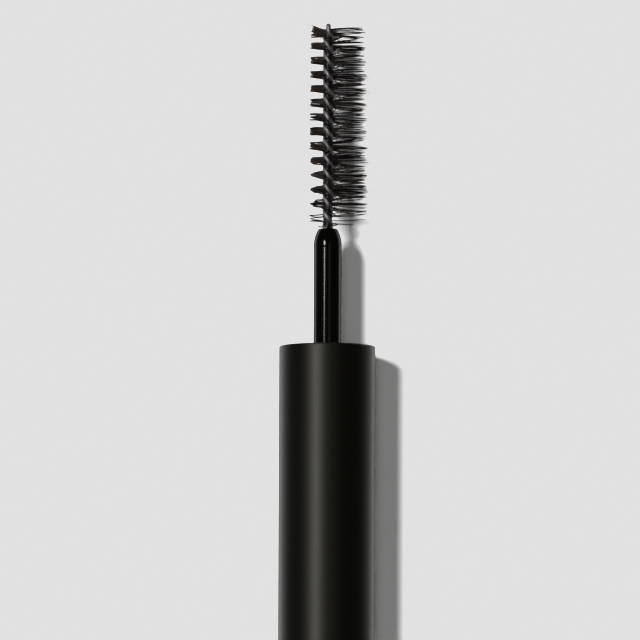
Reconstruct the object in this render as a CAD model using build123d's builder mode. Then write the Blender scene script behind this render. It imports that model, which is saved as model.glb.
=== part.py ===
"""Mascara tube, lying on its side with the wand pulled straight out of the vial.

Millimetres, +Z up. The barrel axis runs along +Y at the height of the barrel's radius: the cap is at the low
end, then the rod and the brush, then a gap, then the vial, whose mouth faces the brush. The origin is under the
middle of the whole length. Turning the cap closes a right-hand thread, so it turns clockwise as seen from the
cap's closed end.
"""
import os
from math import pi

from build123d import *

# barrels: cap and vial share one diameter
barrel_r = 6.75
sleeve_wall = 0.45
sleeve_edge = 0.22
end_edge = 0.55
glue_gap = 0.02
cap_length = 56.0
vial_length = 49.0

# wand
rod_r = 1.95
rod_shown = 16.5
rod_tip_r = 1.38
rod_taper = 2.7
rod_head_r = 2.28
wire_r = 0.36
wire_path_r = 0.41
wire_pitch = 4.04
brush_length = 29.1
first_fan = 1.29
fan_count = 14
turns_in_rod = 2

# vial neck, wiper and screw thread
neck_length = 11.0
neck_r = 4.4
neck_bore_r = 3.55
wiper_flange = 0.4
wiper_wall = 0.5
wiper_lip_r = 2.025
bottle_bore_r = 5.55
seat_gap = 0.3
thread_lead = 2.0
thread_turns = 1.5
thread_height = 0.55
thread_start = 1.5

# the gap between brush and vial in the resting layout
open_gap = 10.0

# places along the barrel axis, worked out from the lengths
total_length = cap_length + rod_shown + brush_length + open_gap + neck_length + vial_length
cap_end = -total_length / 2
rim = cap_end + cap_length
rod_tip = rim + rod_shown
brush_tip = rod_tip + brush_length
mouth = brush_tip + open_gap
shoulder = mouth + neck_length
vial_end = shoulder + vial_length
screw_travel = thread_lead * thread_turns
mouth_depth = neck_length - seat_gap
pull_travel = shoulder - seat_gap - rim - screw_travel

barrel = Axis((0, 0, barrel_r), (0, 1, 0))
profile = Plane.XY.offset(barrel_r)


def helix_frame(path):
    """Plane square to a helix at its start, with its local X pointing away from the barrel axis."""
    start = path @ 0
    outward = Vector(start.X, 0, start.Z - barrel_r)
    return Plane(origin=start, x_dir=outward, z_dir=path % 0)


os.makedirs("parts", exist_ok=True)

# ---------------------------------------------------------------- cap sleeve
# drawn aluminium cup, closed at the far end, with a rolled rim round the mouth
with BuildPart() as cap_sleeve:
    with BuildSketch(profile):
        with BuildLine():
            Polyline(
                (0, cap_end),
                (barrel_r, cap_end),
                (barrel_r, rim),
                (barrel_r - sleeve_wall, rim),
                (barrel_r - sleeve_wall, cap_end + sleeve_wall),
                (0, cap_end + sleeve_wall),
                close=True,
            )
        make_face()
    revolve(axis=barrel)
    outer_circles = cap_sleeve.edges().filter_by(GeomType.CIRCLE).filter_by(lambda e: e.radius > barrel_r - 0.01)
    fillet(outer_circles.sort_by(Axis.Y)[0], radius=end_edge)
    outer_circles = cap_sleeve.edges().filter_by(GeomType.CIRCLE).filter_by(lambda e: e.radius > barrel_r - 0.01)
    fillet(outer_circles.sort_by(Axis.Y)[-1], radius=sleeve_edge)
cap_sleeve.part.label = "cap_sleeve"

# ---------------------------------------------------------------- inner cap
# moulded insert: a threaded cup for the neck, a roof that clamps the washer, and a socket for the rod's head
insert_r = barrel_r - sleeve_wall - glue_gap
insert_recess = 0.5
insert_bore_r = neck_r + thread_height + 0.2
washer_thick = 0.6
washer_play = 0.05
roof_depth = mouth_depth + washer_thick + 2 * washer_play
roof_thick = 1.6
socket_bore_r = rod_head_r + glue_gap
socket_r = 3.5
socket_depth = roof_depth + 10.0
socket_end = socket_depth + 1.2
inner_thread_turns = 1.0
thread_root_width = 0.9
thread_crest_width = 0.5
thread_sink = 0.12

with BuildPart() as inner_cap:
    with BuildSketch(profile):
        with BuildLine():
            Polyline(
                (insert_bore_r, rim - insert_recess),
                (insert_r, rim - insert_recess),
                (insert_r, rim - roof_depth - roof_thick),
                (socket_r, rim - roof_depth - roof_thick),
                (socket_r, rim - socket_end),
                (0, rim - socket_end),
                (0, rim - socket_depth),
                (socket_bore_r, rim - socket_depth),
                (socket_bore_r, rim - roof_depth),
                (insert_bore_r, rim - roof_depth),
                close=True,
            )
        make_face()
    revolve(axis=barrel)
    lead_in = inner_cap.edges().filter_by(GeomType.CIRCLE).group_by(Axis.Y)[-1].sort_by(SortBy.RADIUS)[0]
    chamfer(lead_in, length=0.4)
    # at the closed pose this thread starts level with the neck's, half a pitch out of step with it
    with BuildLine() as inner_helix:
        Helix(
            pitch=thread_lead,
            height=thread_lead * inner_thread_turns,
            radius=insert_bore_r,
            center=(0, rim - mouth_depth + thread_start, barrel_r),
            direction=(0, 1, 0),
        )
    with BuildSketch(helix_frame(inner_helix.line)):
        with BuildLine():
            Polyline(
                (thread_sink, -thread_root_width / 2),
                (thread_sink, thread_root_width / 2),
                (-thread_height, thread_crest_width / 2),
                (-thread_height, -thread_crest_width / 2),
                close=True,
            )
        make_face()
    sweep(path=inner_helix.line, is_frenet=True)
inner_cap.part.label = "inner_cap"

# ---------------------------------------------------------------- cap weight and its pad
# a loose steel slug gives the cap its heft; a foam plug at the closed end keeps it up against the insert
weight_gap = 0.3
weight_length = 14.0
weight_near = socket_end + weight_gap
with BuildPart() as cap_weight:
    with BuildSketch(Plane.XZ.offset(-(rim - weight_near - weight_length))):
        with Locations((0, barrel_r)):
            Circle(barrel_r - sleeve_wall - weight_gap)
    extrude(amount=-weight_length)
    chamfer(cap_weight.edges(), length=0.4)
cap_weight.part.label = "cap_weight"

pad_near = weight_near + weight_length + weight_gap
pad_far = cap_length - sleeve_wall
with BuildPart() as weight_pad:
    with BuildSketch(Plane.XZ.offset(-(rim - pad_far))):
        with Locations((0, barrel_r)):
            Circle(barrel_r - sleeve_wall - 2 * glue_gap)
    extrude(amount=-(pad_far - pad_near))
weight_pad.part.label = "weight_pad"

# ---------------------------------------------------------------- rod
# moulded rod: barbed head pressed into the insert, a bead that keeps the washer on, a rounded tip bored for the wire.
# the wire's start is set back from the brush's first fan by whole half turns, so that the twist fits the fans
fan_pitch = wire_pitch / 2
wire_start_y = brush_tip - first_fan - (fan_count + 2 * turns_in_rod) * fan_pitch
bead_r = 2.27
bead_width = 0.6
washer_open_depth = mouth_depth + washer_play - screw_travel
bead_top = washer_open_depth - 0.15
wire_core_r = wire_path_r + wire_r
wire_bore_r = wire_core_r + 0.03
wire_bore_end = wire_start_y - 0.2
socket_play = 0.1
head_lead_in = 0.3
head_lead_length = 0.6
barb_place = 2.2
barb_pitch = 2.4
barb_groove = (0.3, 0.8)
tip_edge = 0.12
tip_swell = 0.2
rod_start = rim - socket_depth + socket_play
with BuildPart() as rod:
    with BuildSketch(profile):
        with BuildLine():
            Line((0, rod_start), (rod_head_r - head_lead_in, rod_start))
            Line((rod_head_r - head_lead_in, rod_start), (rod_head_r, rod_start + head_lead_length))
            Line((rod_head_r, rod_start + head_lead_length), (rod_head_r, rim - roof_depth))
            Line((rod_head_r, rim - roof_depth), (rod_r, rim - roof_depth))
            Line((rod_r, rim - roof_depth), (rod_r, rim - bead_top))
            ThreePointArc(
                (rod_r, rim - bead_top),
                (bead_r, rim - bead_top + bead_width / 2),
                (rod_r, rim - bead_top + bead_width),
            )
            Line((rod_r, rim - bead_top + bead_width), (rod_r, rod_tip - rod_taper))
            ThreePointArc(
                (rod_r, rod_tip - rod_taper),
                (rod_r - tip_swell, rod_tip - rod_taper * 0.36),
                (rod_tip_r, rod_tip - tip_edge),
            )
            Line((rod_tip_r, rod_tip - tip_edge), (rod_tip_r - tip_edge, rod_tip))
            Line((rod_tip_r - tip_edge, rod_tip), (wire_bore_r, rod_tip))
            Line((wire_bore_r, rod_tip), (wire_bore_r, wire_bore_end))
            Line((wire_bore_r, wire_bore_end), (0, wire_bore_end))
            Line((0, wire_bore_end), (0, rod_start))
        make_face()
    revolve(axis=barrel)
    # two shallow grooves behind the head's barbs
    with BuildSketch(profile):
        for groove in range(2):
            with Locations((rod_head_r, rod_start + barb_place + groove * barb_pitch)):
                Rectangle(*barb_groove)
    revolve(axis=barrel, mode=Mode.SUBTRACT)
rod.part.label = "rod"

# ---------------------------------------------------------------- seal washer
# foam washer, free on the rod between the bead and the roof; the neck's edge lifts it to the roof as the cap closes
with BuildPart() as seal_washer:
    with BuildSketch(Plane.XZ.offset(-(rim - washer_open_depth - washer_thick))):
        with Locations((0, barrel_r)):
            Circle(neck_r - 0.1)
            Circle(rod_r + 0.05, mode=Mode.SUBTRACT)
    extrude(amount=-washer_thick)
seal_washer.part.label = "seal_washer"

# ---------------------------------------------------------------- wire core
# one stainless wire folded in half and twisted left-handed; the fold makes the brush's rounded tip
wire_loop_y = brush_tip - wire_path_r - wire_r
joint_swell = 0.015
with BuildLine() as strand:
    Helix(
        pitch=wire_pitch,
        height=wire_loop_y - wire_start_y,
        radius=wire_path_r,
        center=(0, wire_start_y, barrel_r),
        direction=(0, 1, 0),
        lefthand=True,
    )
strand_end = strand.line @ 1
across = Vector(strand_end.X, 0, strand_end.Z - barrel_r).normalized()
with BuildPart() as wire_core:
    with BuildSketch(helix_frame(strand.line)):
        Circle(wire_r)
    sweep(path=strand.line, is_frenet=True)
    add(wire_core.part.rotate(barrel, 180))
    # the fold: half a ring across the two ends, with a ball at each joint
    with BuildSketch(Plane(origin=strand_end, x_dir=across, z_dir=(0, 1, 0))):
        Circle(wire_r)
    revolve(
        axis=Axis((0, wire_loop_y, barrel_r), across.cross(Vector(0, 1, 0))),
        revolution_arc=180,
    )
    with Locations(strand_end, (-strand_end.X, wire_loop_y, 2 * barrel_r - strand_end.Z)):
        Sphere(wire_r + joint_swell)
wire_core.part.label = "wire_core"

# ---------------------------------------------------------------- bristles
# nylon fibres caught in the twist. Each half turn of wire is one fan of fibres, here an off-centre disc:
# the brush is trimmed off its axis, short on the -X side and long on the +X side
fan_thick = 1.0
fan_r_tip = 3.8
fan_r_base = 4.0
fan_offset_tip = 1.4
fan_offset_base = 1.48
with BuildPart() as bristles:
    for fan in range(fan_count):
        share = min(1, fan / 9)
        fan_r = fan_r_tip + (fan_r_base - fan_r_tip) * share
        fan_offset = fan_offset_tip + (fan_offset_base - fan_offset_tip) * share
        with BuildSketch(Plane.XZ.offset(-(brush_tip - first_fan - fan * fan_pitch - fan_thick / 2))):
            with Locations((fan_offset, barrel_r)):
                Circle(fan_r)
            with Locations((0, barrel_r)):
                Circle(wire_core_r + 0.04, mode=Mode.SUBTRACT)
        extrude(amount=-fan_thick)
bristles.part.label = "bristles"

# ---------------------------------------------------------------- vial sleeve
# drawn aluminium cup round the bottle, closed at the base, with a shallow recess for the label
label_recess_r = 5.2
label_recess = 0.15
with BuildPart() as vial_sleeve:
    with BuildSketch(profile):
        with BuildLine():
            Polyline(
                (0, vial_end - label_recess),
                (label_recess_r, vial_end - label_recess),
                (label_recess_r, vial_end),
                (barrel_r, vial_end),
                (barrel_r, shoulder),
                (barrel_r - sleeve_wall, shoulder),
                (barrel_r - sleeve_wall, vial_end - label_recess - sleeve_wall),
                (0, vial_end - label_recess - sleeve_wall),
                close=True,
            )
        make_face()
    revolve(axis=barrel)
    outer_circles = vial_sleeve.edges().filter_by(GeomType.CIRCLE).filter_by(lambda e: e.radius > barrel_r - 0.01)
    fillet(outer_circles.sort_by(Axis.Y)[-1], radius=end_edge)
    outer_circles = vial_sleeve.edges().filter_by(GeomType.CIRCLE).filter_by(lambda e: e.radius > barrel_r - 0.01)
    fillet(outer_circles.sort_by(Axis.Y)[0], radius=sleeve_edge)
vial_sleeve.part.label = "vial_sleeve"

# ---------------------------------------------------------------- bottle
# moulded bottle with its screw neck, pressed into the vial sleeve up to the shoulder
bottle_r = barrel_r - sleeve_wall - glue_gap
bottle_floor = 0.8
bottle_end = vial_end - label_recess - sleeve_wall - glue_gap
shoulder_thick = 1.2
neck_top = mouth + wiper_flange + glue_gap
with BuildPart() as bottle:
    with BuildSketch(profile):
        with BuildLine():
            Polyline(
                (neck_bore_r, neck_top),
                (neck_r, neck_top),
                (neck_r, shoulder),
                (bottle_r, shoulder),
                (bottle_r, bottle_end),
                (0, bottle_end),
                (0, bottle_end - bottle_floor),
                (bottle_bore_r, bottle_end - bottle_floor),
                (bottle_bore_r, shoulder + shoulder_thick + 1.2),
                (neck_bore_r, shoulder + shoulder_thick),
                close=True,
            )
        make_face()
    revolve(axis=barrel)
    with BuildLine() as neck_helix:
        Helix(
            pitch=thread_lead,
            height=screw_travel,
            radius=neck_r,
            center=(0, mouth + thread_start, barrel_r),
            direction=(0, 1, 0),
        )
    with BuildSketch(helix_frame(neck_helix.line)):
        with BuildLine():
            Polyline(
                (-thread_sink, -thread_root_width / 2),
                (-thread_sink, thread_root_width / 2),
                (thread_height, thread_crest_width / 2),
                (thread_height, -thread_crest_width / 2),
                close=True,
            )
        make_face()
    sweep(path=neck_helix.line, is_frenet=True)
bottle.part.label = "bottle"

# ---------------------------------------------------------------- wiper
# soft insert pressed into the neck: a flange on the neck's edge, a sleeve, a funnel and a thin lip round the rod
wiper_r = neck_bore_r - glue_gap
wiper_bore_r = wiper_r - wiper_wall
wiper_sleeve = 5.4
wiper_funnel = 2.6
wiper_lip = 0.8
with BuildPart() as wiper:
    with BuildSketch(profile):
        with BuildLine():
            Polyline(
                (wiper_bore_r, mouth),
                (neck_r - 0.15, mouth),
                (neck_r - 0.15, mouth + wiper_flange),
                (wiper_r, mouth + wiper_flange),
                (wiper_r, mouth + wiper_sleeve),
                (wiper_lip_r + wiper_wall, mouth + wiper_sleeve + wiper_funnel),
                (wiper_lip_r + wiper_wall, mouth + wiper_sleeve + wiper_funnel + wiper_lip),
                (wiper_lip_r, mouth + wiper_sleeve + wiper_funnel + wiper_lip),
                (wiper_lip_r, mouth + wiper_sleeve + wiper_funnel),
                (wiper_bore_r, mouth + wiper_sleeve),
                close=True,
            )
        make_face()
    revolve(axis=barrel)
wiper.part.label = "wiper"

# ---------------------------------------------------------------- mascara fill
# the paste, with the channel that the rod and brush leave in it
channel_r = 3.1
fill_top = shoulder + 12.0
fill_floor = shoulder - seat_gap + rod_shown + brush_length + 1.0
with BuildPart() as mascara_fill:
    with BuildSketch(profile):
        with BuildLine():
            Polyline(
                (channel_r, fill_top + 1.0),
                (bottle_bore_r - glue_gap, fill_top),
                (bottle_bore_r - glue_gap, bottle_end - bottle_floor - glue_gap),
                (0, bottle_end - bottle_floor - glue_gap),
                (0, fill_floor),
                (channel_r, fill_floor),
                close=True,
            )
        make_face()
    revolve(axis=barrel)
mascara_fill.part.label = "mascara_fill"

# ---------------------------------------------------------------- base label
# blank paper disc stuck in the recess of the vial's base
with BuildPart() as base_label:
    with BuildSketch(Plane.XZ.offset(-(vial_end - label_recess + 0.01))):
        with Locations((0, barrel_r)):
            Circle(label_recess_r - 0.25)
    extrude(amount=-0.1)
base_label.part.label = "base_label"

print("pull travel", pull_travel, "screw travel", screw_travel, "lead per radian", thread_lead / (2 * pi))

for piece in (
    cap_sleeve,
    inner_cap,
    cap_weight,
    weight_pad,
    rod,
    seal_washer,
    wire_core,
    bristles,
    vial_sleeve,
    bottle,
    wiper,
    mascara_fill,
    base_label,
):
    export_step(piece.part, f"parts/{piece.part.label}.step")
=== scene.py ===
"""Looks of the mascara tube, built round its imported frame.

The barrel axis runs along +Y: cap, rod, brush, a gap, then the vial. The sections follow the object as it is
put together, after the camera and the light table that it lies on. Metres throughout.
"""
import math

import bpy
import numpy as np
from mathutils import Matrix, Vector


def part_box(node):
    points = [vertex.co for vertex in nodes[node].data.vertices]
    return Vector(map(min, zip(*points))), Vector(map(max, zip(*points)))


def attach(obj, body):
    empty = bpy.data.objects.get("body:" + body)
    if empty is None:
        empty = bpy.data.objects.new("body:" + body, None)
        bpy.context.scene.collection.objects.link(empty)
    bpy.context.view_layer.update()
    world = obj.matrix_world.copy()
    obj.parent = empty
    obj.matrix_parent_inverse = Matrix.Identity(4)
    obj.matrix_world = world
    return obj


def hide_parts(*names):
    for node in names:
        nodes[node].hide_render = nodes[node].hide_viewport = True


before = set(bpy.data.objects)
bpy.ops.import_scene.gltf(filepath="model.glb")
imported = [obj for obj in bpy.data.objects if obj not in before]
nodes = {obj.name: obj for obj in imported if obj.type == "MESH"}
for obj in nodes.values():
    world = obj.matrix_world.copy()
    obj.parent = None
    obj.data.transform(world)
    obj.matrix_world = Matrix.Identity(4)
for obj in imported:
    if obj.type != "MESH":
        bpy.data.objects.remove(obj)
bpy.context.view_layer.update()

MM = 0.001
cap_low, cap_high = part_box("cap_sleeve")
rod_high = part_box("rod")[1]
wire_low, wire_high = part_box("wire_core")
axis_z = (cap_high.z + cap_low.z) / 2
rim_y = cap_high.y

# ---------------------------------------------------------------- camera
# A long lens straight above the wand. It leans a little towards the cap, so that the cap's open end turns
# away from it, and it is rolled by a fraction of a degree.
view_width = 89.64 * MM
view_centre = Vector((-1.04 * MM, rim_y + 3.70 * MM, axis_z))
view_distance = 0.9
lean = math.radians(5.04)
roll = math.radians(0.216)

camera_data = bpy.data.cameras.new("camera")
camera_data.sensor_width = 36.0
camera_data.lens = camera_data.sensor_width * view_distance / view_width
camera_data.clip_start = 0.01
camera_data.clip_end = 50.0
camera = bpy.data.objects.new("camera", camera_data)
bpy.context.scene.collection.objects.link(camera)
back = Vector((0, -math.sin(lean), math.cos(lean)))
up = Vector((-math.sin(roll), math.cos(roll), 0))
right = up.cross(back).normalized()
up = back.cross(right)
camera_axes = Matrix((right, up, back)).transposed().to_4x4()
camera.matrix_world = Matrix.Translation(view_centre + back * view_distance) @ camera_axes
bpy.context.scene.camera = camera

# ---------------------------------------------------------------- light table
# Plain pale floor, lit past white so that it comes out as one even tone. A round softbox from the upper left,
# a dim one on the right, one right above, and a dark studio round them. In reflections the floor's colour is
# painted: a painted reflection, brightest in a strip on each side of the object and fading out away from it.
view = bpy.context.scene.view_settings
view.view_transform = "Standard"
view.use_curve_mapping = True
floor_tone = 0.755
levels_kept = (0.2, 0.4, 0.6, 0.7, floor_tone)
tone_curve = view.curve_mapping.curves[3]
tone_curve.points[0].location = (0, 0)
tone_curve.points[1].location = (1, floor_tone)
for level in levels_kept:
    tone_curve.points.new(level, level)
for point in tone_curve.points:
    point.handle_type = "VECTOR"
view.curve_mapping.extend = "HORIZONTAL"
view.curve_mapping.update()

floor_size = 6.0
floor_colour = (0.80, 0.795, 0.79, 1)
floor_mesh = bpy.data.meshes.new("floor")
half = floor_size / 2
floor_corners = [(-half, -half, 0), (half, -half, 0), (half, half, 0), (-half, half, 0)]
floor_mesh.from_pydata(floor_corners, [], [(0, 1, 2, 3)])
floor = bpy.data.objects.new("floor", floor_mesh)
bpy.context.scene.collection.objects.link(floor)
floor_finish = bpy.data.materials.new("pale_floor")
floor_finish.use_nodes = True
floor_tree = floor_finish.node_tree
floor_shader = floor_tree.nodes["Principled BSDF"]
floor_shader.inputs["Roughness"].default_value = 1.0
floor_shader.inputs["Specular IOR Level"].default_value = 0.0
floor_place = floor_tree.nodes.new("ShaderNodeTexCoord")
floor_axes = floor_tree.nodes.new("ShaderNodeSeparateXYZ")
painted_reflection_ramp = floor_tree.nodes.new("ShaderNodeValToRGB")
# painted reflection: the share of the floor's colour that reflections show, at places across the barrel's
# axis
fade_span = 0.12
painted_reflection_stops = (
    (-0.06, 0.03), (-0.034, 0.1), (-0.017, 0.5), (-0.0115, 1.15), (-0.0098, 0.22), (-0.003, 0.12),
    (0.003, 0.1), (0.0098, 0.18), (0.0115, 1.2), (0.017, 0.44), (0.034, 0.16), (0.06, 0.04),
)
fade_scale = floor_tree.nodes.new("ShaderNodeMapRange")
fade_scale.inputs["From Min"].default_value = -fade_span / 2
fade_scale.inputs["From Max"].default_value = fade_span / 2
while len(painted_reflection_ramp.color_ramp.elements) < len(painted_reflection_stops):
    painted_reflection_ramp.color_ramp.elements.new(0.5)
for stop, (place, share) in zip(painted_reflection_ramp.color_ramp.elements, painted_reflection_stops):
    stop.position = place / fade_span + 0.5
    stop.color = (share * floor_colour[0], share * floor_colour[1], share * floor_colour[2], 1)
# glossy rays see the painted reflection colour in place of the floor's own colour
floor_rays = floor_tree.nodes.new("ShaderNodeLightPath")
floor_mix = floor_tree.nodes.new("ShaderNodeMix")
floor_mix.data_type = "RGBA"
floor_mix.inputs["A"].default_value = floor_colour
floor_tree.links.new(floor_place.outputs["Object"], floor_axes.inputs["Vector"])
floor_tree.links.new(floor_axes.outputs["X"], fade_scale.inputs["Value"])
floor_tree.links.new(fade_scale.outputs["Result"], painted_reflection_ramp.inputs["Fac"])
floor_tree.links.new(painted_reflection_ramp.outputs["Color"], floor_mix.inputs["B"])
floor_tree.links.new(floor_rays.outputs["Is Glossy Ray"], floor_mix.inputs["Factor"])
floor_tree.links.new(floor_mix.outputs["Result"], floor_shader.inputs["Base Color"])
floor_mesh.materials.append(floor_finish)


def softbox(name, lamp, diffuser):
    """A far round softbox. Its lamp gives the light and the shadows, its diffuser the glare, which a
    polarising filter weakens. Each of the two is a direction, a diameter in degrees and a strength."""
    for role, (towards, spread, strength) in (("light", lamp), ("glare", diffuser)):
        light_data = bpy.data.lights.new(f"{name}_{role}", "SUN")
        light_data.energy = strength
        light_data.angle = math.radians(spread)
        light = bpy.data.objects.new(f"{name}_{role}", light_data)
        light.rotation_euler = Vector(towards).to_track_quat("Z", "Y").to_euler()
        light.visible_diffuse = role == "light"
        light.visible_glossy = role == "glare"
        bpy.context.scene.collection.objects.link(light)


softbox("key", ((-0.508, 0.26, 1.0), 12.6, 5.9), ((-0.5, 0.237, 1.0), 13.5, 0.98))
softbox("fill", ((0.28, 0.05, 1.0), 18.0, 0.1), ((0.28, 0.05, 1.0), 18.0, 0.018))
softbox("ceiling", ((0.0, 0.0, 1.0), 20.0, 0.555), ((0.0, 0.0, 1.0), 20.0, 0.0))

world = bpy.data.worlds.new("studio")
world.use_nodes = True
bpy.context.scene.world = world
dark_studio = world.node_tree.nodes["Background"]
dark_studio.inputs["Color"].default_value = (0.032, 0.032, 0.031, 1)
# past the floor's edge the camera sees the floor's own tone
pale_backdrop = world.node_tree.nodes.new("ShaderNodeBackground")
pale_backdrop.inputs["Color"].default_value = (0.74, 0.74, 0.74, 1)
seen_directly = world.node_tree.nodes.new("ShaderNodeLightPath")
backdrop_mix = world.node_tree.nodes.new("ShaderNodeMixShader")
world.node_tree.links.new(seen_directly.outputs["Is Camera Ray"], backdrop_mix.inputs[0])
world.node_tree.links.new(dark_studio.outputs[0], backdrop_mix.inputs[1])
world.node_tree.links.new(pale_backdrop.outputs[0], backdrop_mix.inputs[2])
world.node_tree.links.new(backdrop_mix.outputs[0], world.node_tree.nodes["World Output"].inputs["Surface"])

# ---------------------------------------------------------------- barrel sleeves
# Drawn aluminium cups round the cap and the vial, sprayed with a satin black lacquer that has a warm cast and
# a very fine orange peel. The far end of each is closed.
def finish_of(name, colour, roughness, **sockets):
    """A new material with plain values on its shader's own sockets; returns it with its tree and shader."""
    material = bpy.data.materials.new(name)
    material.use_nodes = True
    shader = material.node_tree.nodes["Principled BSDF"]
    shader.inputs["Base Color"].default_value = (*colour, 1)
    shader.inputs["Roughness"].default_value = roughness
    for socket, value in sockets.items():
        shader.inputs[socket.replace("_", " ")].default_value = value
    return material, material.node_tree, shader


def grain(tree, shader, scale, depth, stretch=(1, 1, 1), detail=3.0):
    """Bumps the shader with noise of scale grains per metre, depth metres deep, stretched along the axes.
    Returns the noise, so that it can tone a socket too."""
    place = tree.nodes.new("ShaderNodeTexCoord")
    mapping = tree.nodes.new("ShaderNodeMapping")
    mapping.inputs["Scale"].default_value = stretch
    noise = tree.nodes.new("ShaderNodeTexNoise")
    noise.inputs["Scale"].default_value = scale
    noise.inputs["Detail"].default_value = detail
    bump = tree.nodes.new("ShaderNodeBump")
    bump.inputs["Strength"].default_value = 1.0
    bump.inputs["Distance"].default_value = depth
    tree.links.new(place.outputs["Object"], mapping.inputs["Vector"])
    tree.links.new(mapping.outputs["Vector"], noise.inputs["Vector"])
    tree.links.new(noise.outputs["Fac"], bump.inputs["Height"])
    tree.links.new(bump.outputs["Normal"], shader.inputs["Normal"])
    return noise


def tone_by(tree, noise, socket, low, high, start=0.3, end=0.7):
    """Ramps a noise from low to high into a socket of the shader. Low and high are numbers for a value, and
    triples for a colour; start and end are the stretch of the noise that the ramp covers."""
    ramp = tree.nodes.new("ShaderNodeValToRGB")
    shades = [value if isinstance(value, tuple) else (value, value, value) for value in (low, high)]
    ramp.color_ramp.elements[0].position = start
    ramp.color_ramp.elements[0].color = (*shades[0], 1)
    ramp.color_ramp.elements[1].position = end
    ramp.color_ramp.elements[1].color = (*shades[1], 1)
    tree.links.new(noise.outputs["Fac"], ramp.inputs["Fac"])
    tree.links.new(ramp.outputs["Color"], socket)


def dress(node, material):
    """Gives a CAD node its finish."""
    for place in nodes[node].material_slots:
        place.material = material


lacquer, tree, shader = finish_of("satin_black_lacquer", (0.0008, 0.0007, 0.0003), 0.4,
                                  Specular_Tint=(1.0, 0.98, 0.87, 1.0))
peel = grain(tree, shader, scale=2600, depth=0.6e-6)
tone_by(tree, peel, shader.inputs["Roughness"], 0.38, 0.43)
dress("cap_sleeve", lacquer)
dress("vial_sleeve", lacquer)

# ---------------------------------------------------------------- inner cap
# Moulded black polypropylene insert, glued into the cap's mouth: the threaded cup that takes the vial's neck,
# and the socket that takes the rod. Its skin is duller than the rod's, with a fine moulded texture.
insert_plastic, tree, shader = finish_of("dull_black_polypropylene", (0.006, 0.006, 0.0055), 0.5)
texture = grain(tree, shader, scale=5200, depth=3e-6, detail=2.0)
tone_by(tree, texture, shader.inputs["Roughness"], 0.42, 0.58)
dress("inner_cap", insert_plastic)

# ---------------------------------------------------------------- cap weight and pad
# A slug of zinc-plated steel turned on a lathe, which makes the cap heavy in the hand. It lies loose in the
# cap, held off the closed end by a plug of dark open foam.
turned_steel, tree, shader = finish_of("zinc_plated_turned_steel", (0.5, 0.5, 0.51), 0.34, Metallic=1.0)
turning = grain(tree, shader, scale=5200, depth=2.5e-6, stretch=(0.02, 1, 0.02))
tone_by(tree, turning, shader.inputs["Base Color"], (0.42, 0.42, 0.44), (0.6, 0.6, 0.6))
dress("cap_weight", turned_steel)

dark_foam, tree, shader = finish_of("dark_open_foam", (0.02, 0.02, 0.022), 0.95)
cells = grain(tree, shader, scale=2400, depth=60e-6, detail=1.0)
tone_by(tree, cells, shader.inputs["Base Color"], (0.006, 0.006, 0.007), (0.045, 0.045, 0.048), 0.4, 0.6)
dress("weight_pad", dark_foam)

# ---------------------------------------------------------------- rod
# Moulded acetal, glossy black, pressed into the inner cap by its barbed head. Its rounded tip is bored for
# the brush's wire.
polished, tree, shader = finish_of("polished_black_acetal", (0.0006, 0.0006, 0.0002), 0.09,
                                   Specular_IOR_Level=0.33, Specular_Tint=(1.0, 0.99, 0.92, 1.0))
grain(tree, shader, scale=700, depth=0.06e-6, stretch=(1, 0.2, 1))
dress("rod", polished)

# ---------------------------------------------------------------- seal washer
# Punched from closed-cell foam, free on the rod between its bead and the inner cap's roof. The vial's neck
# presses on it when the tube is shut.
pale_foam, tree, shader = finish_of("pale_closed_cell_foam", (0.74, 0.73, 0.70), 0.7)
fine_cells = grain(tree, shader, scale=9000, depth=9e-6, detail=1.0)
tone_by(tree, fine_cells, shader.inputs["Base Color"], (0.62, 0.61, 0.58), (0.8, 0.79, 0.76))
dress("seal_washer", pale_foam)

# ---------------------------------------------------------------- wire
# One stainless wire folded in half and twisted left-handed on the fibres, with its ends pressed into the
# rod. A dark film of paste lies over it.
steel, tree, shader = finish_of("filmed_stainless_wire", (0.34, 0.33, 0.34), 0.52, Metallic=1.0)
film = grain(tree, shader, scale=1100, depth=2e-6)
tone_by(tree, film, shader.inputs["Base Color"], (0.2, 0.195, 0.2), (0.44, 0.43, 0.45), 0.34, 0.5)


def mesh_piece(name, points, *face_sets):
    """A smooth mesh object at the origin, from an array of points and arrays of faces. The faces of one array
    all have the same number of corners."""
    corners = np.concatenate([faces.ravel() for faces in face_sets])
    totals = np.concatenate([np.full(len(faces), faces.shape[1]) for faces in face_sets])
    mesh = bpy.data.meshes.new(name)
    mesh.vertices.add(len(points))
    mesh.vertices.foreach_set("co", np.asarray(points, dtype=np.float32).ravel())
    mesh.loops.add(len(corners))
    mesh.loops.foreach_set("vertex_index", corners.astype(np.int32))
    mesh.polygons.add(len(totals))
    mesh.polygons.foreach_set("loop_start", (np.cumsum(totals) - totals).astype(np.int32))
    mesh.polygons.foreach_set("loop_total", totals.astype(np.int32))
    mesh.update(calc_edges=True)
    mesh.polygons.foreach_set("use_smooth", np.full(len(totals), True))
    piece = bpy.data.objects.new(name, mesh)
    bpy.context.scene.collection.objects.link(piece)
    return piece


def tube_points(centre, radius, guide, side_count):
    """Points of tubes: a circle of side_count points round each point of a centre line, across the line's
    direction there. Every circle starts square to the guide direction, which the line never takes."""
    tangent = np.gradient(centre, axis=-2)
    tangent /= np.linalg.norm(tangent, axis=-1, keepdims=True)
    across = np.cross(tangent, guide)
    across /= np.linalg.norm(across, axis=-1, keepdims=True)
    upright = np.cross(across, tangent)
    around = np.linspace(0, 2 * math.pi, side_count, endpoint=False)[:, None]
    circle = across[..., None, :] * np.cos(around) + upright[..., None, :] * np.sin(around)
    return (centre[..., None, :] + circle * radius[..., None, None]).reshape(-1, 3)


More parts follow.
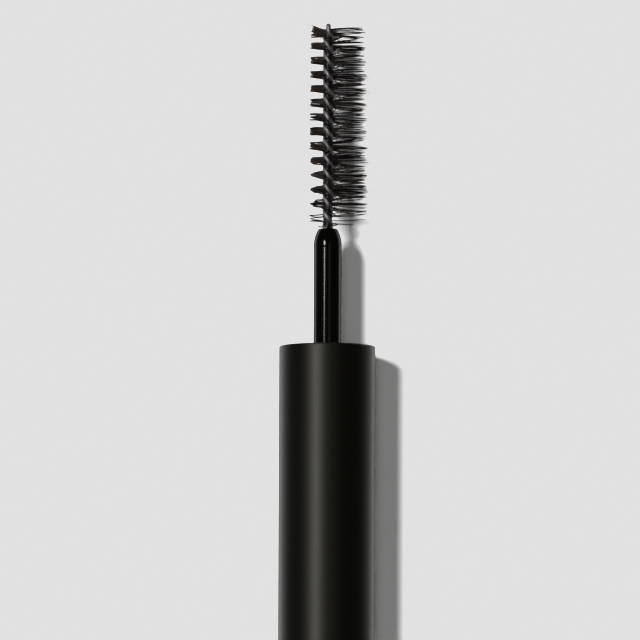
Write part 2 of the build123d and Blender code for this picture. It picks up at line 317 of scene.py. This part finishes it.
def tube_faces(tube_count, ring_count, side_count):
    """Faces of equal tubes: quads join ring r to ring r + 1, side by side, and the last side to the first
    one. A face with side_count corners closes each end."""
    tube = np.arange(tube_count)[:, None, None] * ring_count
    ring = np.arange(ring_count - 1)[None, :, None]
    side = np.arange(side_count)[None, None, :]
    here = (tube + ring) * side_count + side
    beside = (tube + ring) * side_count + (side + 1) % side_count
    walls = np.stack([here, here + side_count, beside + side_count, beside], axis=-1).reshape(-1, 4)
    start = tube[:, 0] * side_count + side[0]
    end = start[:, ::-1] + (ring_count - 1) * side_count
    return walls, np.concatenate([start, end])


# one line down the middle of the wire: up the first strand, round the fold, down the second. At the first fan
# the strands lie above each other, and from there they run straight to the fold
wire_pitch = 4.04 * MM
wire_path_r = 0.41 * MM
wire_r = 0.36 * MM
first_fan = 1.29 * MM
twist_end = wire_high.y - first_fan
fold_y = wire_high.y - wire_path_r - wire_r
strand_steps = 700
fold_steps = 22
wire_sides = 20
strand_y = np.linspace(wire_low.y, fold_y, strand_steps)
fold_angle = np.linspace(0, math.pi, fold_steps)[1:-1]
path_y = np.concatenate([strand_y, fold_y + wire_path_r * np.sin(fold_angle), strand_y[::-1]])
path_out = wire_path_r * np.concatenate([np.ones(strand_steps), np.cos(fold_angle), -np.ones(strand_steps)])
# the twist fades out smoothly over a tenth of a millimetre or two
twist_ease = 0.12 * MM
twist_left = twist_ease * np.logaddexp(0, (twist_end - path_y) / twist_ease)
wire_angle = math.pi / 2 - 2 * math.pi * twist_left / wire_pitch
outward = np.stack([np.cos(wire_angle), 0 * wire_angle, np.sin(wire_angle)], axis=-1)
sideways = np.stack([-np.sin(wire_angle), 0 * wire_angle, np.cos(wire_angle)], axis=-1)
wire_line = outward * path_out[:, None] + np.stack([0 * path_y, path_y, axis_z + 0 * path_y], axis=-1)
wire_points = tube_points(wire_line, np.full(len(path_y), wire_r), sideways, wire_sides)
wire = mesh_piece("folded_wire", wire_points, *tube_faces(1, len(path_y), wire_sides))
wire.data.materials.append(steel)
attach(wire, "wand")
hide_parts("wire_core")

# ---------------------------------------------------------------- bristles
# Nylon fibres, each one caught at its middle in the twist, so that half a turn of the wire fans them out all
# round. The brush is trimmed off its axis, short on the -X side. Paste gathers the fibres' tips in locks, and
# coats the short side's tufts near the rod.
fan_count = 14
fibres_in_fan = 39
fan_step = wire_pitch / 2
trim_r = (3.8 * MM, 4.0 * MM)
trim_offset = (1.4 * MM, 1.48 * MM)
trim_grows_over = 9
lower_coated_fan = 8
core_r = 0.5 * MM
fibre_sides = 5
rng = np.random.default_rng(41)

# turn is a fibre's place in its fan, from -0.5 below to 0.5 above, and its angle in half turns. Few fibres
# stand upright, the fans near the rod are thinner, and the fold leaves no room for the top of the first fan
upright_turn = 0.37
upright_share = 0.3
first_fan_top = 0.24
fan = np.repeat(np.arange(fan_count), fibres_in_fan)
slot = np.tile(np.arange(fibres_in_fan), fan_count)
turn = (slot + rng.uniform(0.1, 0.9, slot.size)) / fibres_in_fan - 0.5
thinner_fans = (10, 11, 12, 13)
kept_of_fan = (1.0, 0.9, 0.85, 0.5)
kept_share = np.interp(fan, thinner_fans, kept_of_fan)
kept_share *= np.where(np.abs(turn) > upright_turn, upright_share, 1.0)
keep = ((fan > 0) | (turn < first_fan_top)) & (rng.uniform(size=slot.size) < kept_share)
fan_y = wire_high.y - first_fan - fan * fan_step
fan, turn, fan_y = fan[keep], turn[keep], fan_y[keep]
base_y = fan_y + turn * fan_step

# three short stray fibres next to the rod's tip: turn, height over the rod, reach on the +X and the -X side
strays = np.array([
    (0.04, 0.36 * MM, 1.7 * MM, 1.3 * MM),
    (0.12, 0.3 * MM, 1.5 * MM, 1.6 * MM),
    (-0.08, 0.42 * MM, 1.2 * MM, 0.9 * MM),
])
stray_count = len(strays)
fan = np.append(fan, [fan_count - 1] * stray_count)
turn = np.append(turn, strays[:, 0])
fan_y = np.append(fan_y, [rod_high.y + strays[0, 1]] * stray_count)
base_y = np.append(base_y, rod_high.y + strays[:, 1])
base_angle = turn * math.pi
fibre_count = fan.size
grown = np.minimum(1, fan / trim_grows_over)
trim_radius = trim_r[0] + (trim_r[1] - trim_r[0]) * grown
trim_shift = trim_offset[0] + (trim_offset[1] - trim_offset[0]) * grown


def reach_of(angle):
    """Distance from the wire's axis to the trimmed surface, a cylinder shifted along +X, at an angle."""
    return trim_shift * np.cos(angle) + np.sqrt(trim_radius**2 - (trim_shift * np.sin(angle)) ** 2)


def gather(count, pull, level, lean_edge, spread, scatter):
    """Tips of one side, as offsets from each fibre's own angle and place. The fibres lean the share level of
    the way to the flat plane through the wire, apart from the upright ones, whose turn is past lean_edge. A
    fan's tips open along the wire to spread times its width, with a random scatter, and fall into count
    locks: each goes about the share pull of the way to its lock's tip."""
    lean_fades_over = 0.1
    lean_in = level * np.clip((lean_edge - np.abs(turn)) / lean_fades_over, 0, 1)
    own_angle = -base_angle * lean_in
    own_y = fan_y + (base_y - fan_y) * spread + rng.normal(size=fibre_count) * scatter
    lock = np.minimum((turn + 0.5) * count, count - 1e-6).astype(int)
    most_locks = 16
    key = fan * most_locks + lock
    noise = rng.normal(size=(fan_count * most_locks, 3))
    lock_turn = ((lock + 0.5) / count - 0.5) + 0.05 * noise[key, 0]
    lock_y = fan_y + lock_turn * fan_step * spread + 0.08 * MM * noise[key, 1]
    lock_angle = lock_turn * math.pi * (1 - lean_in) - base_angle
    most_pulled = 0.94
    share_pulled = pull + 0.15 * noise[key, 2] + rng.normal(size=fibre_count) * 0.12
    share_pulled = np.clip(share_pulled, 0, most_pulled)
    tip_y = own_y + (lock_y - own_y) * share_pulled
    return own_angle + (lock_angle - own_angle) * share_pulled, tip_y - base_y


# how far paste coats the short side: not at all up to a fan, fully two fans on, and not on the last one
coated = np.clip((fan - lower_coated_fan) / 2.0, 0, 1) * (fan < fan_count - 1)
right_turn, right_rise = gather(5, 0.5, 0.5, 0.36, 1.4, 0.15 * MM)
left_locks = np.where(coated > 0.4, 1, 3)
left_turn, left_rise = gather(left_locks, 0.14 + 0.08 * coated, 0.52, 0.47, 0.87, 0.08 * MM)
# the first fan's short side flares up beside the fold, the next ones lean up a little, and so does the long
# side of the last fan, away from the rod
flare_rise = 0.3 * MM
flare_share = 0.9
short_side_rise = 0.1 * MM
last_fan_rise = 0.42 * MM
flared = flare_rise + flare_share * (base_y - fan_y)
left_rise += np.where(fan == 0, flared, short_side_rise * (fan <= lower_coated_fan))
right_rise += last_fan_rise * (fan == fan_count - 1)
right_turn += rng.normal(size=fibre_count) * 0.12
left_turn += rng.normal(size=fibre_count) * 0.08

# near the rod the lower fibres of one fan and the upper ones of the next stick together at their tips
join_scatter = 0.05 * MM
join_lean = 0.85
for upper_fan in (11, 12):
    meeting_y = wire_high.y - first_fan - (upper_fan + 0.5) * fan_step
    from_above = (fan == upper_fan) & (turn < -0.2) & (turn > -0.29)
    from_below = (fan == upper_fan + 1) & (turn > 0.2) & (turn < 0.3)
    joined = from_above | from_below
    right_rise[joined] = (meeting_y - base_y + rng.normal(size=fibre_count) * join_scatter)[joined]
    right_turn[joined] = -base_angle[joined] * join_lean

# every fibre is one line from its -X tip through the wire to its +X tip; outside the core it bends over to
# where its tips belong, with a slight bow of its own
bend_over = 3.2 * MM
bend_power = 1.25
bow_depth = 0.07 * MM
steps = np.linspace(0.08, 1, 8)
along = np.concatenate([-steps[::-1], [0.0], steps])
ring_count = along.size
right_side = along[None, :] > 0
tip_angle = np.where(right_side, right_turn[:, None], left_turn[:, None])
tip_rise = np.where(right_side, right_rise[:, None], left_rise[:, None])
# seen from above, the short side's tips end on one line, and its coated tufts come to a point
right_reach = reach_of(base_angle + right_turn)
left_reach = reach_of(base_angle + left_turn + math.pi) / np.maximum(0.78, np.cos(base_angle + left_turn))
left_reach *= 1 - coated * (0.01 + 2.8 * np.minimum(np.abs(turn), 0.4) ** 2)
right_reach[-stray_count:] = strays[:, 2]
left_reach[-stray_count:] = strays[:, 3]
right_noise = rng.normal(1, 0.018, (fibre_count, 1))
left_noise = rng.normal(1, 0.02, (fibre_count, 1))
reach = np.where(right_side, right_reach[:, None], left_reach[:, None])
radius = np.abs(along)[None, :] * reach * np.where(right_side, right_noise, left_noise)
ease = np.clip((radius - core_r) / (bend_over - core_r), 0, None) ** bend_power
full = np.clip((radius[:, [0, -1]] - core_r) / (bend_over - core_r), 0.05, None) ** bend_power
ease = ease / np.where(right_side, full[:, 1:], full[:, :1])
bow = rng.normal(size=(fibre_count, 2, 2)) * bow_depth
bow_here = np.where(right_side[..., None], bow[:, None, 0, :], bow[:, None, 1, :])
bow_here = bow_here * np.sin(math.pi * ease)[..., None]
angle = base_angle[:, None] + tip_angle * ease
way = np.where(along < 0, -1.0, 1.0)[None, :]
centre = np.stack([
    way * radius * np.cos(angle) - np.sin(angle) * bow_here[..., 0],
    base_y[:, None] + tip_rise * ease + bow_here[..., 1],
    axis_z + way * radius * np.sin(angle) + np.cos(angle) * bow_here[..., 0],
], axis=-1)

# paste thickens the fibres of the coated tufts, most of all on the short side, and every tip is narrow
fibre_r = rng.uniform(0.052, 0.075, fibre_count) * MM * (1 + 0.5 * coated * rng.uniform(size=fibre_count))
thickness = np.where(np.abs(along) > 0.97, 0.45, 1.0) * np.where(along > 0, 0.9, 1.1)
fibre_points = tube_points(centre, fibre_r[:, None] * thickness, (0.0, 1.0, 0.0), fibre_sides)
fibres = mesh_piece("bristle_fibres", fibre_points, *tube_faces(fibre_count, ring_count, fibre_sides))
tint = np.repeat(rng.uniform(0, 1, fibre_count), ring_count * fibre_sides).astype(np.float32)
fibres.data.attributes.new("fibre_tint", "FLOAT", "POINT").data.foreach_set("value", tint)

nylon, tree, shader = finish_of("black_nylon_fibre", (0.006, 0.005, 0.004), 0.42)
fibre_tint = tree.nodes.new("ShaderNodeAttribute")
fibre_tint.attribute_name = "fibre_tint"
dark_fibre = (0.0025, 0.002, 0.0018)
brown_fibre = (0.016, 0.0105, 0.0075)
tone_by(tree, fibre_tint, shader.inputs["Base Color"], dark_fibre, brown_fibre, 0.2, 1.0)
fibres.data.materials.append(nylon)
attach(fibres, "wand")
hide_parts("bristles")

# ---------------------------------------------------------------- paste in the twist
# Thick black mascara left in the grooves between the wire's two strands, wet and uneven. It is a lumpy
# sleeve round the twist, from inside the rod's tip to just past the first fan.
paste, tree, shader = finish_of("wet_black_mascara", (0.002, 0.0016, 0.0014), 0.3)
lumps = grain(tree, shader, scale=1300, depth=30e-6)
tone_by(tree, lumps, shader.inputs["Roughness"], 0.2, 0.5)


def paste_sleeve(low_y, high_y, radius, wave):
    """Points of a lumpy sleeve round the wire. Its radius is a constant plus wave times the mean of three
    sine waves that run along and round it, and it narrows almost to a point at both ends."""
    along_y = np.linspace(low_y, high_y, paste_rings)[:, None]
    round_angle = np.linspace(0, 2 * math.pi, paste_sides, endpoint=False)[None, :]
    length = along_y / MM
    waves = np.sin(2.9 * length + round_angle) + np.sin(5.3 * length - 2 * round_angle) + np.sin(9.7 * length)
    from_end = np.minimum(along_y - low_y, high_y - along_y)
    closing = np.sqrt(np.clip(from_end / paste_closes_over, 1e-4, 1))
    r = (radius + wave * waves / 3) * closing
    return np.stack([r * np.cos(round_angle), along_y + 0 * r, axis_z + r * np.sin(round_angle)], axis=-1)


paste_rings = 480
paste_sides = 20
paste_closes_over = 0.5 * MM
paste_r = 0.65 * MM
paste_wave = 0.07 * MM
paste_low = rod_high.y - 0.4 * MM
paste_high = wire_high.y - 1.05 * MM
sleeve_points = paste_sleeve(paste_low, paste_high, paste_r, paste_wave)
paste_faces = tube_faces(1, paste_rings, paste_sides)
twist_paste = mesh_piece("twist_paste", sleeve_points.reshape(-1, 3), *paste_faces)
twist_paste.data.materials.append(paste)
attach(twist_paste, "wand")

# ---------------------------------------------------------------- bottle
# Moulded black polypropylene bottle, glued into the vial's sleeve. Its polished screw neck and shoulder stand
# out of the sleeve.
neck_plastic, tree, shader = finish_of("polished_black_polypropylene", (0.0012, 0.0012, 0.001), 0.2)
scuffs = grain(tree, shader, scale=800, depth=0.6e-6, stretch=(1, 0.3, 1), detail=5.0)
tone_by(tree, scuffs, shader.inputs["Roughness"], 0.16, 0.3)
dress("bottle", neck_plastic)

# ---------------------------------------------------------------- wiper
# Soft translucent elastomer insert in the neck. Its rim shows pale, and the bore is smeared with black paste
# that the lip has scraped off the rod and brush.
def reach_from_axis(tree):
    """The distance of a point from the barrel's axis, in metres, as a socket."""
    place = tree.nodes.new("ShaderNodeTexCoord")
    centring = tree.nodes.new("ShaderNodeMapping")
    centring.vector_type = "POINT"
    centring.inputs["Location"].default_value = (0, 0, -axis_z)
    centring.inputs["Scale"].default_value = (1, 0, 1)
    length = tree.nodes.new("ShaderNodeVectorMath")
    length.operation = "LENGTH"
    tree.links.new(place.outputs["Object"], centring.inputs["Vector"])
    tree.links.new(centring.outputs["Vector"], length.inputs[0])
    return length.outputs["Value"]


elastomer, tree, shader = finish_of("translucent_elastomer", (0.7, 0.69, 0.65), 0.42,
                                    Subsurface_Weight=0.3, Subsurface_Scale=0.8 * MM)
smear_noise = grain(tree, shader, scale=900, depth=8e-6, detail=4.0)
smear_reach = tree.nodes.new("ShaderNodeMapRange")
smear_reach.inputs["From Min"].default_value = 3.0 * MM
smear_reach.inputs["From Max"].default_value = 3.6 * MM
smear_reach.inputs["To Min"].default_value = -0.35
smear_reach.inputs["To Max"].default_value = 0.22
smear_sum = tree.nodes.new("ShaderNodeMath")
smear_sum.operation = "ADD"
smear_ramp = tree.nodes.new("ShaderNodeValToRGB")
smear_ramp.color_ramp.elements[0].position = 0.38
smear_ramp.color_ramp.elements[0].color = (0.003, 0.0026, 0.0024, 1)
smear_ramp.color_ramp.elements[1].position = 0.5
smear_ramp.color_ramp.elements[1].color = (0.7, 0.69, 0.65, 1)
tree.links.new(reach_from_axis(tree), smear_reach.inputs["Value"])
tree.links.new(smear_reach.outputs["Result"], smear_sum.inputs[0])
tree.links.new(smear_noise.outputs["Fac"], smear_sum.inputs[1])
tree.links.new(smear_sum.outputs["Value"], smear_ramp.inputs["Fac"])
tree.links.new(smear_ramp.outputs["Color"], shader.inputs["Base Color"])
dress("wiper", elastomer)

# ---------------------------------------------------------------- mascara fill
# The black paste in the bottle, the same as on the wire. It keeps the channel that the rod and brush have
# left in it.
dress("mascara_fill", paste)

# ---------------------------------------------------------------- base label
# Round coated-paper label, stuck in the recess of the vial's base. It is blank but for one printed hairline
# ring.
label_paper, tree, shader = finish_of("coated_label_paper", (0.56, 0.56, 0.54), 0.5)
grain(tree, shader, scale=6000, depth=2e-6, detail=5.0)
# paper, the ring's ink and paper again, each from a share of the way to 5 mm from the axis
ring_ramp = tree.nodes.new("ShaderNodeValToRGB")
ring_ramp.color_ramp.interpolation = "CONSTANT"
ring_scale = tree.nodes.new("ShaderNodeMapRange")
ring_scale.inputs["From Max"].default_value = 5.0 * MM
for place, shade in ((0.0, 0.56), (0.86, 0.06), (0.885, 0.56)):
    stop = ring_ramp.color_ramp.elements[0] if place == 0 else ring_ramp.color_ramp.elements.new(place)
    stop.position = place
    stop.color = (shade, shade, shade * 0.97, 1)
ring_ramp.color_ramp.elements.remove(ring_ramp.color_ramp.elements[-1])
tree.links.new(reach_from_axis(tree), ring_scale.inputs["Value"])
tree.links.new(ring_scale.outputs["Result"], ring_ramp.inputs["Fac"])
tree.links.new(ring_ramp.outputs["Color"], shader.inputs["Base Color"])
dress("base_label", label_paper)
